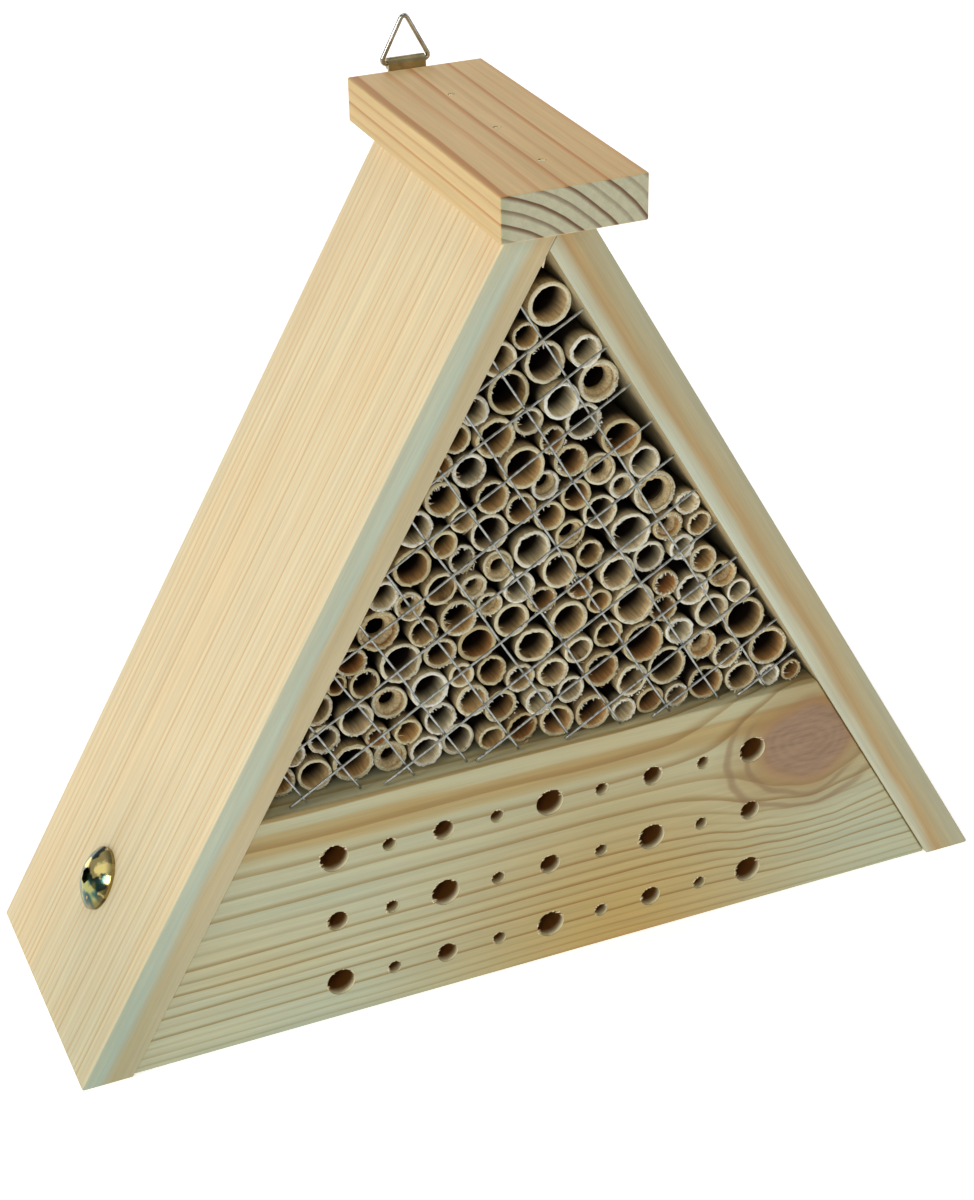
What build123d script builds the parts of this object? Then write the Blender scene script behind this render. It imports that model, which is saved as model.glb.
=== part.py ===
from build123d import *
import math
import os
import random

# A triangular insect hotel to hang up or stand: two sloping roof boards, a ridge board,
# a base block drilled with nest holes, and a stack of cut reeds behind welded wire mesh.
# Millimetres. X runs along the base, -Y is the front, +Z is up. The origin is the middle
# of the base block's bottom face, on the floor.

# ---- overall frame ----
BASE_WIDTH = 266.0
DEPTH = 83.0
SLOPE = 60.0
BOARD_THICKNESS = 12.0
ARRIS = 0.5                    # eased edges of the boards
FRONT = -DEPTH / 2
BACK = DEPTH / 2

# ---- ridge board ----
RIDGE_BOTTOM = 215.5
RIDGE_WIDTH = 37.0
RIDGE_THICKNESS = 11.5
RIDGE_OVERHANG = 14.0
RIDGE_TOP = RIDGE_BOTTOM + RIDGE_THICKNESS

# ---- base block and its nest holes ----
BLOCK_HEIGHT = 68.0
BLOCK_RECESS = 1.0             # its front stands back from the boards' front edges
BLOCK_GAP = 0.2                # joint line between its ends and the boards
HOLE_COLUMNS = 9
HOLE_ROWS = 3
HOLE_STEP_X = 15.17
HOLE_STEP_Z = 19.9
HOLE_FIRST_X = -61.0
HOLE_TOP_Z = 51.0
HOLE_DEPTH = 60.0
LARGE_HOLE = 8.0
MEDIUM_HOLE = 6.0
SMALL_HOLE = 4.0

# ---- back panel ----
PANEL_THICKNESS = 3.0
PANEL_INSET = 3.0              # in from the boards' outer faces
PANEL_BOTTOM = 0.5
PANEL_TOP = 205.0

# ---- wire mesh ----
WIRE = 0.7
MESH_STEP = 12.7               # half-inch mesh
MESH_SETBACK = 2.8             # from the boards' front edges to the front wires' middle
MESH_BITE = 1.2                # how far the cut ends are pressed into the boards
MESH_LOWEST = BLOCK_HEIGHT + 0.6
RISING_FIRST = 158.6           # offset of the highest rising wire from the origin
FALLING_FIRST = 90.8           # offset of the rightmost falling wire from the origin
RISING_COUNT = 20
FALLING_COUNT = 13
SHORTEST_WIRE = 5.0

# ---- reeds ----
REED_SEED = 11
REED_SMALLEST = 6.0
REED_USUAL = 9.2
REED_LARGEST = 12.6
REED_GAP = 0.06
REED_TRIES = 14
REED_ROW_HEIGHT = 9.2
REED_ROWS = 15
REED_RECESS = 6.0              # of the cut ends in the middle of the stack
REED_RECESS_LEAN = 0.035       # the ends stand further out towards the right, per mm
REED_RECESS_SCATTER = 1.3
REED_CLEARANCE = 0.25          # least gap behind the mesh
REED_BACK_GAP = (0.4, 2.0)
REED_WALL_LEAST = 0.35
REED_WALL_PER_RADIUS = 0.13    # thicker reeds have thicker walls
REED_WALL_SCATTER = 0.25

# ---- connector bolts ----
BOLT_ALONG_SLOPE = 39.2        # from the board's lower outer corner, up the slope
BOLT_DIAMETER = 6.0
BOLT_LENGTH = 32.0
BOLT_HOLE = 6.5
HEAD_DIAMETER = 17.0
HEAD_DOME = 3.4
HEAD_RIM = 0.9
SOCKET_ACROSS_FLATS = 4.0
SOCKET_DEPTH = 2.6
INSERT_DIAMETER = 10.0
INSERT_LENGTH = 14.0
INSERT_BORE = 6.1
INSERT_SUNK = 1.0              # below the end face of the block
GROOVE_COUNT = 4
GROOVE_FIRST = 2.2             # from the insert's outer end
GROOVE_STEP = 3.0
GROOVE_WIDTH = 1.4
GROOVE_DEPTH = 0.9
FIT_GAP = 0.02

# ---- nails ----
BRAD_SHANK = 1.4
BRAD_HEAD = 2.0
BRAD_HEAD_HEIGHT = 0.5
BRAD_SUNK = 0.4
NAIL_POINT = 1.5               # length of a nail's point, in shank diameters
RIDGE_NAIL_LENGTH = 26.0
RIDGE_NAIL_Y = (16.8, -11.4, -37.3)
APEX_NAIL_LENGTH = 24.0
APEX_NAIL_ALONG = 245.2        # from the left board's lower outer corner, up the slope
APEX_NAIL_HEAD = 1.7
APEX_NAIL_SUNK = 1.0
APEX_NAIL_Y = (-24.0, 24.0)
PIN_SHANK = 1.3
PIN_HEAD = 3.4
PIN_HEAD_HEIGHT = 0.6
PIN_LENGTH = 18.0
PANEL_PIN_ALONG = (34.0, 116.0, 196.0)
PANEL_PIN_X = (-64.0, 0.0, 64.0)
PANEL_PIN_Z = 14.0

# ---- hanger ----
HANGER_X = -2.0                # nailed on by hand, a little left of the middle
PLATE_WIDTH = 12.0
PLATE_THICKNESS = 0.8
PLATE_BOTTOM = 206.5
PLATE_CORNER = 2.0
KNUCKLE_WIDTH = 10.2
KNUCKLE_OUTER = 1.46
KNUCKLE_BORE = 0.66
SHOULDER_GAP = 1.0             # from the knuckle down to the plate's shoulders
RING_WIRE = 0.6                # wire radius
RING_BASE = 13.8               # corner to corner, along the wire's middle
RING_HEIGHT = 12.8             # sharp height, along the wire's middle
RING_CORNER = 0.95
HANGER_AXIS_Z = RIDGE_TOP + 1.5
HANGER_AXIS_Y = BACK + KNUCKLE_OUTER
HANGER_NAIL_Z = (222.4, 211.0)
HANGER_NAIL_SHANK = 1.6
HANGER_NAIL_HEAD = 3.6
HANGER_NAIL_DOME = 0.9
HANGER_NAIL_LENGTH = 14.0

SIN = math.sin(math.radians(SLOPE))
COS = math.cos(math.radians(SLOPE))
TAN = math.tan(math.radians(SLOPE))
HALF = BASE_WIDTH / 2
FOOT = BOARD_THICKNESS / SIN                    # a board's width where it meets the floor
INNER_HALF = HALF - FOOT
INNER_APEX = INNER_HALF * TAN


def save(shape, node):
    """Write one piece to its own file, named after its node."""
    export_step(shape, f"parts/{node}.step")


def front_profile(points, y_from, y_to):
    """Extrude an outline drawn on the front elevation (X, Z) from one depth to another."""
    outline = Polyline(*[(x, y_from, z) for x, z in points], close=True)
    return extrude(make_face(outline), amount=y_to - y_from, dir=(0, 1, 0))


def rod(start, end, radius):
    """A straight round rod between two points."""
    start = Vector(*start)
    end = Vector(*end)
    axis = end - start
    return extrude(Plane(origin=start, z_dir=axis) * Circle(radius), amount=axis.length)


def roof_point(side, along, depth):
    """A point (X, Z) on a roof board: side -1 left or 1 right, distance up the slope from
    the lower outer corner, and depth in from the outer face."""
    x = HALF - along * COS - depth * SIN
    z = along * SIN - depth * COS
    return side * x, z


# ---- wooden pieces ----

def bolt_start(side):
    """Where a connector bolt's axis leaves the outer face of its board."""
    x, z = roof_point(side, BOLT_ALONG_SLOPE, 0)
    return Vector(x, 0, z)


def bolt_inward(side):
    """Unit vector along a connector bolt, from its head into the block."""
    return Vector(-side * SIN, 0, -COS)


def bolt_hole(side, radius, start, length):
    """A round hole along a connector bolt's axis, from a distance behind the outer face."""
    begin = bolt_start(side) + bolt_inward(side) * start
    end = begin + bolt_inward(side) * length
    return rod(begin, end, radius)


def left_roof_board():
    """The board that runs through to the ridge."""
    top_outer = HALF - RIDGE_BOTTOM / TAN
    top_inner = RIDGE_BOTTOM / TAN - INNER_HALF
    outline = [(-HALF, 0), (-INNER_HALF, 0), (top_inner, RIDGE_BOTTOM), (-top_outer, RIDGE_BOTTOM)]
    board = front_profile(outline, FRONT, BACK)
    board = fillet(board.edges(), ARRIS)
    return board - bolt_hole(-1, BOLT_HOLE / 2, -1, BOARD_THICKNESS + 2)


def right_roof_board():
    """The board that is cut to butt against the left board's inner face."""
    top_outer = HALF - RIDGE_BOTTOM / TAN
    top_inner = RIDGE_BOTTOM / TAN - INNER_HALF
    outline = [
        (HALF, 0),
        (INNER_HALF, 0),
        (0, INNER_APEX),
        (top_inner, RIDGE_BOTTOM),
        (top_outer, RIDGE_BOTTOM),
    ]
    board = front_profile(outline, FRONT, BACK)
    long_edges = board.edges().filter_by(Axis.Y)
    foot_edges = [edge for edge in long_edges if edge.center().X > INNER_HALF - 1]
    board = fillet(foot_edges, ARRIS)
    return board - bolt_hole(1, BOLT_HOLE / 2, -1, BOARD_THICKNESS + 2)


def ridge_board():
    """The flat board on top, longer than the roof boards at the front."""
    length = DEPTH + RIDGE_OVERHANG
    middle = BACK - length / 2
    board = Pos(0, middle, RIDGE_BOTTOM + RIDGE_THICKNESS / 2) * Box(RIDGE_WIDTH, length, RIDGE_THICKNESS)
    board = fillet(board.edges(), ARRIS)
    for y in RIDGE_NAIL_Y:
        board -= rod((0, y, RIDGE_TOP - BRAD_SUNK), (0, y, RIDGE_TOP + 1), BRAD_HEAD / 2)
    return board


def hole_diameter(column, row):
    """Large, small and medium holes take turns; the middle row starts half a turn later."""
    sizes = [LARGE_HOLE, SMALL_HOLE, MEDIUM_HOLE, SMALL_HOLE]
    shift = 2 if row % 2 else 0
    return sizes[(column + shift) % len(sizes)]


def base_block():
    """The solid block between the boards' feet, with blind nest holes in its front."""
    bottom_half = INNER_HALF - BLOCK_GAP
    top_half = bottom_half - BLOCK_HEIGHT / TAN
    outline = [
        (-bottom_half, 0),
        (bottom_half, 0),
        (top_half, BLOCK_HEIGHT),
        (-top_half, BLOCK_HEIGHT),
    ]
    block_front = FRONT + BLOCK_RECESS
    block = front_profile(outline, block_front, BACK)
    block = fillet(block.edges(), ARRIS)
    for row in range(HOLE_ROWS):
        for column in range(HOLE_COLUMNS):
            x = HOLE_FIRST_X + column * HOLE_STEP_X
            z = HOLE_TOP_Z - row * HOLE_STEP_Z
            radius = hole_diameter(column, row) / 2
            block -= rod((x, block_front - 1, z), (x, block_front + HOLE_DEPTH, z), radius)
    for side in (-1, 1):
        block -= bolt_hole(side, INSERT_DIAMETER / 2, BOARD_THICKNESS - 1, INSERT_LENGTH + 2)
        block -= bolt_hole(side, BOLT_HOLE / 2, BOARD_THICKNESS, BOLT_LENGTH - BOARD_THICKNESS + 2)
    return block


def back_panel():
    """Thin plywood that closes the back, nailed on over the boards' edges."""
    half_bottom = HALF - PANEL_INSET / SIN - PANEL_BOTTOM / TAN
    half_top = HALF - PANEL_INSET / SIN - PANEL_TOP / TAN
    outline = [
        (-half_bottom, PANEL_BOTTOM),
        (half_bottom, PANEL_BOTTOM),
        (half_top, PANEL_TOP),
        (-half_top, PANEL_TOP),
    ]
    return front_profile(outline, BACK, BACK + PANEL_THICKNESS)


# ---- wire mesh ----

RISING = (SIN, COS)            # direction of the wires that climb to the right
FALLING = (COS, -SIN)          # direction of the wires that run down to the right


def wire_ends(point, direction):
    """Where the line through a point (X, Z) enters and leaves the opening."""
    low = -1000.0
    high = 1000.0
    reach = INNER_HALF + MESH_BITE / SIN
    walls = [(0, 1, MESH_LOWEST), (SIN, -COS, -reach * SIN), (-SIN, -COS, -reach * SIN)]
    for a, b, least in walls:
        here = a * point[0] + b * point[1] - least
        slope = a * direction[0] + b * direction[1]
        if abs(slope) < 1e-6:
            if here < 0:
                return None
        elif slope > 0:
            low = max(low, -here / slope)
        else:
            high = min(high, -here / slope)
    if high - low < SHORTEST_WIRE:
        return None
    return low, high


def mesh_wires(direction, normal, first, count, y):
    """Parallel straight wires, one mesh step apart, cut to the triangular opening."""
    wires = []
    for index in range(count):
        offset = first - index * MESH_STEP
        point = (normal[0] * offset, normal[1] * offset)
        ends = wire_ends(point, direction)
        if ends is None:
            continue
        start, end = [(point[0] + direction[0] * t, y, point[1] + direction[1] * t) for t in ends]
        wires.append(rod(start, end, WIRE / 2))
    return Compound(children=wires)


def mesh_rising_wires():
    """The front layer of the mesh, square to the right roof board."""
    y = FRONT + MESH_SETBACK
    return mesh_wires(RISING, (-COS, SIN), RISING_FIRST, RISING_COUNT, y)


def mesh_falling_wires():
    """The layer behind, parallel to the right roof board and welded to the front layer."""
    y = FRONT + MESH_SETBACK + WIRE
    return mesh_wires(FALLING, (SIN, COS), FALLING_FIRST, FALLING_COUNT, y)


# ---- reeds ----

def fits(x, z, radius, placed):
    """True if a reed at (x, z) is inside the opening and clear of the reeds in place."""
    margin = REED_GAP / 2
    if z - radius < BLOCK_HEIGHT + margin:
        return False
    if (INNER_HALF - abs(x)) * SIN - z * COS < radius + margin:
        return False
    for other_x, other_z, other_radius in placed:
        least = radius + other_radius + margin
        if (x - other_x) ** 2 + (z - other_z) ** 2 < least * least:
            return False
    return True


def resting_places(radius, placed):
    """Every place where a reed touches two of: the block, a roof board, another reed."""
    apart = radius + REED_GAP
    floor_z = BLOCK_HEIGHT + apart
    wall_x = INNER_HALF - (apart + floor_z * COS) / SIN
    places = [(floor_z, -wall_x), (floor_z, wall_x)]
    lines = [((0, floor_z), (1, 0))]
    for side in (-1, 1):
        foot_x = side * (INNER_HALF - apart / SIN)
        lines.append(((foot_x, 0), (-side * COS, SIN)))
    for index, (x, z, other) in enumerate(placed):
        reach = other + apart
        for (line_x, line_z), (ux, uz) in lines:
            along = (x - line_x) * ux + (z - line_z) * uz
            square = reach ** 2 - (x - line_x - along * ux) ** 2 - (z - line_z - along * uz) ** 2
            if square > 0:
                for step in (along - math.sqrt(square), along + math.sqrt(square)):
                    places.append((line_z + step * uz, line_x + step * ux))
        for x2, z2, other2 in placed[:index]:
            gap = math.hypot(x2 - x, z2 - z)
            reach2 = other2 + apart
            if gap < reach + reach2:
                along = (gap ** 2 + reach ** 2 - reach2 ** 2) / (2 * gap)
                rise = math.sqrt(max(reach ** 2 - along ** 2, 0))
                ux = (x2 - x) / gap
                uz = (z2 - z) / gap
                places.append((z + along * uz + rise * ux, x + along * ux - rise * uz))
                places.append((z + along * uz - rise * ux, x + along * ux + rise * uz))
    return sorted(places)


def stack_reeds():
    """Drop reeds of mixed sizes one by one into the lowest place that takes them."""
    chance = random.Random(REED_SEED)
    placed = []
    misses = 0
    while misses < REED_TRIES:
        diameter = chance.triangular(REED_SMALLEST, REED_LARGEST, REED_USUAL)
        radius = round(diameter / 2, 2)
        for z, x in resting_places(radius, placed):
            if fits(x, z, radius, placed):
                placed.append((x, z, radius))
                break
        else:
            misses += 1
    return placed


def reed(x, z, radius, chance):
    """One hollow reed, cut a little unevenly at both ends."""
    scatter = chance.uniform(-REED_RECESS_SCATTER, REED_RECESS_SCATTER)
    recess = REED_RECESS - REED_RECESS_LEAN * x + scatter
    behind_mesh = MESH_SETBACK + 1.5 * WIRE + REED_CLEARANCE
    front = FRONT + max(recess, behind_mesh)
    back = BACK - chance.uniform(*REED_BACK_GAP)
    wall = REED_WALL_LEAST + REED_WALL_PER_RADIUS * radius + chance.uniform(0, REED_WALL_SCATTER)
    tube = rod((x, front, z), (x, back, z), radius)
    return tube - rod((x, front - 1, z), (x, back + 1, z), radius - wall)


def reed_rows():
    """All reeds, grouped by height into rows that are easy to handle."""
    chance = random.Random(REED_SEED + 1)
    rows = [[] for _ in range(REED_ROWS)]
    for x, z, radius in stack_reeds():
        row = min(int((z - BLOCK_HEIGHT) / REED_ROW_HEIGHT), REED_ROWS - 1)
        rows[row].append(reed(x, z, radius, chance))
    return [row for row in rows if row]


# ---- connector bolts ----

def bolt_plane(side, depth):
    """Work plane on a bolt's axis, at a depth behind the outer face, facing outward."""
    origin = bolt_start(side) + bolt_inward(side) * depth
    return Plane(origin=origin, x_dir=(0, 1, 0), z_dir=bolt_inward(side) * -1)


def connector_bolt(side):
    """Furniture bolt with a low domed head and a hexagon socket."""
    face = bolt_plane(side, 0)
    head_radius = HEAD_DIAMETER / 2
    sphere_radius = (head_radius ** 2 + HEAD_DOME ** 2) / (2 * HEAD_DOME)
    rim = extrude(face * Circle(head_radius), amount=HEAD_RIM)
    cap = bolt_plane(side, sphere_radius - HEAD_DOME - HEAD_RIM).location * Sphere(sphere_radius)
    cap &= extrude(bolt_plane(side, -HEAD_RIM) * Circle(head_radius), amount=HEAD_DOME + 1)
    shank = extrude(face * Circle(BOLT_DIAMETER / 2), amount=-BOLT_LENGTH)
    bolt = rim + cap + shank
    socket_floor = HEAD_RIM + HEAD_DOME - SOCKET_DEPTH
    socket_radius = SOCKET_ACROSS_FLATS / math.sqrt(3)
    socket = bolt_plane(side, -socket_floor) * RegularPolygon(socket_radius, 6)
    return bolt - extrude(socket, amount=SOCKET_DEPTH + 1)


def insert_nut(side):
    """Threaded insert sunk into the end of the block, with ribs that grip the wood."""
    entry = bolt_plane(side, BOARD_THICKNESS + INSERT_SUNK)
    body = extrude(entry * Circle(INSERT_DIAMETER / 2 - FIT_GAP), amount=-INSERT_LENGTH)
    for count in range(GROOVE_COUNT):
        depth = BOARD_THICKNESS + INSERT_SUNK + GROOVE_FIRST + GROOVE_STEP * count
        ring = Circle(INSERT_DIAMETER / 2 + 1) - Circle(INSERT_DIAMETER / 2 - GROOVE_DEPTH)
        body -= extrude(bolt_plane(side, depth) * ring, amount=-GROOVE_WIDTH)
    bore = extrude(bolt_plane(side, BOARD_THICKNESS) * Circle(INSERT_BORE / 2), amount=-INSERT_LENGTH - 2)
    return body - bore


# ---- nails ----

def nail(head, tip, shank, head_diameter, head_height):
    """A nail from the top of its head to its tip, with a short conical point."""
    head = Vector(*head)
    tip = Vector(*tip)
    along = (tip - head).normalized()
    point_length = shank * NAIL_POINT
    point_start = tip - along * point_length
    cap = rod(head, head + along * head_height, head_diameter / 2)
    body = rod(head, point_start, shank / 2)
    cone = Cone(shank / 2, shank / 8, point_length, align=(Align.CENTER, Align.CENTER, Align.MIN))
    return cap + body + Plane(origin=point_start, z_dir=along).location * cone


def ridge_nail(y):
    """Brad through the ridge board into the left roof board, its head just below the surface."""
    top = RIDGE_TOP - BRAD_SUNK
    tip = (0, y, top - RIDGE_NAIL_LENGTH)
    return nail((0, y, top), tip, BRAD_SHANK, BRAD_HEAD, BRAD_HEAD_HEIGHT)


def apex_nail(y):
    """Brad from the left board's outer face into the end of the right board."""
    head_x, head_z = roof_point(-1, APEX_NAIL_ALONG, APEX_NAIL_SUNK)
    end_x = head_x + APEX_NAIL_LENGTH * SIN
    end_z = head_z - APEX_NAIL_LENGTH * COS
    head = (head_x, y, head_z)
    tip = (end_x, y, end_z)
    return nail(head, tip, BRAD_SHANK, APEX_NAIL_HEAD, BRAD_HEAD_HEIGHT)


def panel_pin(x, z):
    """Flat-headed pin that holds the back panel."""
    head = BACK + PANEL_THICKNESS + PIN_HEAD_HEIGHT
    return nail((x, head, z), (x, head - PIN_LENGTH, z), PIN_SHANK, PIN_HEAD, PIN_HEAD_HEIGHT)


def panel_pin_places():
    """Pins up both roof boards and along the block."""
    places = {}
    for side, name in ((-1, "left"), (1, "right")):
        for count, along in enumerate(PANEL_PIN_ALONG, start=1):
            places[f"panel_pin_{name}_{count}"] = roof_point(side, along, BOARD_THICKNESS / 2)
    for count, x in enumerate(PANEL_PIN_X, start=1):
        places[f"panel_pin_bottom_{count}"] = (x, PANEL_PIN_Z)
    return places


# ---- hanger ----

def hanger_plate():
    """Sheet-metal strip on the back, its upper end rolled into a knuckle for the ring."""
    height = HANGER_AXIS_Z - PLATE_BOTTOM
    middle = Pos(HANGER_X, BACK + PLATE_THICKNESS / 2, PLATE_BOTTOM + height / 2)
    strip = middle * Box(PLATE_WIDTH, PLATE_THICKNESS, height)
    corners = strip.edges().filter_by(Axis.Y).group_by(Axis.Z)[0]
    strip = fillet(corners, PLATE_CORNER)
    left = (HANGER_X - KNUCKLE_WIDTH / 2, HANGER_AXIS_Y, HANGER_AXIS_Z)
    right = (HANGER_X + KNUCKLE_WIDTH / 2, HANGER_AXIS_Y, HANGER_AXIS_Z)
    shoulder = KNUCKLE_OUTER + SHOULDER_GAP
    for side in (-1, 1):
        x = HANGER_X + side * (KNUCKLE_WIDTH / 2 + PLATE_WIDTH / 2)
        notch = Pos(x, BACK + PLATE_THICKNESS, HANGER_AXIS_Z) * Box(PLATE_WIDTH, 4, 2 * shoulder)
        strip -= notch
    plate = strip + rod(left, right, KNUCKLE_OUTER)
    bore_left = (HANGER_X - PLATE_WIDTH, HANGER_AXIS_Y, HANGER_AXIS_Z)
    bore_right = (HANGER_X + PLATE_WIDTH, HANGER_AXIS_Y, HANGER_AXIS_Z)
    plate -= rod(bore_left, bore_right, KNUCKLE_BORE)
    for z in HANGER_NAIL_Z:
        hole = rod((HANGER_X, BACK - 1, z), (HANGER_X, BACK + 3, z), HANGER_NAIL_SHANK / 2 + FIT_GAP)
        plate -= hole
    return plate


def hanger_nail(z):
    """Round-headed nail through the hanger plate."""
    head = BACK + PLATE_THICKNESS
    tip = head - HANGER_NAIL_LENGTH
    shank = rod((HANGER_X, head, z), (HANGER_X, tip, z), HANGER_NAIL_SHANK / 2)
    radius = HANGER_NAIL_HEAD / 2
    dome_radius = (radius ** 2 + HANGER_NAIL_DOME ** 2) / (2 * HANGER_NAIL_DOME)
    dome = Pos(HANGER_X, head + HANGER_NAIL_DOME - dome_radius, z) * Sphere(dome_radius)
    dome &= rod((HANGER_X, head, z), (HANGER_X, head + HANGER_NAIL_DOME + 1, z), radius)
    return shank + dome


def hanger_ring():
    """Triangular wire ring that swings in the plate's knuckle; upright at rest."""
    y = HANGER_AXIS_Y
    base = HANGER_AXIS_Z
    corners = [
        (HANGER_X - RING_BASE / 2, y, base),
        (HANGER_X + RING_BASE / 2, y, base),
        (HANGER_X, y, base + RING_HEIGHT),
    ]
    path = FilletPolyline(*corners, radius=RING_CORNER, close=True)
    start = path.edges().sort_by(Axis.Z)[0]
    section = Plane(origin=start @ 0.5, z_dir=start % 0.5) * Circle(RING_WIRE)
    return sweep(section, path=path)


def main():
    os.makedirs("parts", exist_ok=True)
    save(left_roof_board(), "left_roof_board")
    save(right_roof_board(), "right_roof_board")
    save(ridge_board(), "ridge_board")
    save(base_block(), "base_block")
    save(back_panel(), "back_panel")
    save(mesh_rising_wires(), "mesh_rising_wires")
    save(mesh_falling_wires(), "mesh_falling_wires")
    for number, row in enumerate(reed_rows(), start=1):
        save(Compound(children=row), f"reed_row_{number:02d}")
        print("reed row", number, len(row), "reeds")
    for side, name in ((-1, "left"), (1, "right")):
        save(connector_bolt(side), f"{name}_connector_bolt")
        save(insert_nut(side), f"{name}_insert_nut")
    for y, name in zip(RIDGE_NAIL_Y, ("back", "middle", "front")):
        save(ridge_nail(y), f"ridge_nail_{name}")
    for y, name in zip(APEX_NAIL_Y, ("front", "back")):
        save(apex_nail(y), f"apex_nail_{name}")
    for node, (x, z) in panel_pin_places().items():
        save(panel_pin(x, z), node)
    save(hanger_plate(), "hanger_plate")
    for z, name in zip(HANGER_NAIL_Z, ("upper", "lower")):
        save(hanger_nail(z), f"hanger_nail_{name}")
    save(hanger_ring(), "hanger_ring")


main()
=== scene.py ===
import math
import random

import bmesh
import bpy
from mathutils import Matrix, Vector


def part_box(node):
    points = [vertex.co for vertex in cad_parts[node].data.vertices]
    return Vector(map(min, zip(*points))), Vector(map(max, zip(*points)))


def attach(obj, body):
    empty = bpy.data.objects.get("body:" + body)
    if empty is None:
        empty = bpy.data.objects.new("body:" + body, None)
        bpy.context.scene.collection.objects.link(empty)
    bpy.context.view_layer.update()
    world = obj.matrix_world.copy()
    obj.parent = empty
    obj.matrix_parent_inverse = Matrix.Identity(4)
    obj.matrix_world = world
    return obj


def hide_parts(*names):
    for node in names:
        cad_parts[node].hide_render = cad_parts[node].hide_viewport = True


# The looks of a triangular insect hotel: pine boards, a drilled block, frayed reeds behind
# welded mesh, zinc-plated bolts and a nickel hanging ring. Metres; shader sizes are millimetres.

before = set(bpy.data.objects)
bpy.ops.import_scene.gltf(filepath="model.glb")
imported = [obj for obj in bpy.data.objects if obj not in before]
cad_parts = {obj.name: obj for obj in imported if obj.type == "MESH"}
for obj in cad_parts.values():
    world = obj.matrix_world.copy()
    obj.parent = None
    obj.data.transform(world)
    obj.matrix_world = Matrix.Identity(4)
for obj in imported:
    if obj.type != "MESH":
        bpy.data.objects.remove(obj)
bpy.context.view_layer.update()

MM = 0.001
SLOPE = math.radians(60)
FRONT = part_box("left_roof_board")[0][1]
BLOCK_LOW, BLOCK_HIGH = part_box("base_block")
HALF_WIDTH = -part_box("left_roof_board")[0][0] / MM
BOARD_THICKNESS = 12.0
BOLT_ALONG_SLOPE = 39.2
# The nest holes lie within this distance of the block's middle, and this far from its top
# and bottom.
HOLES_HALF_SPAN = 72.0
HOLES_MARGIN = 5.0


# ---------------------------------------------------------------- shader helpers

def linear(red, green, blue, alpha=1.0):
    """Screen colour (0-255) to the linear colour that shaders use."""
    channels = []
    for value in (red, green, blue):
        c = value / 255
        channels.append(c / 12.92 if c <= 0.04045 else ((c + 0.055) / 1.055) ** 2.4)
    return (*channels, alpha)


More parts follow.
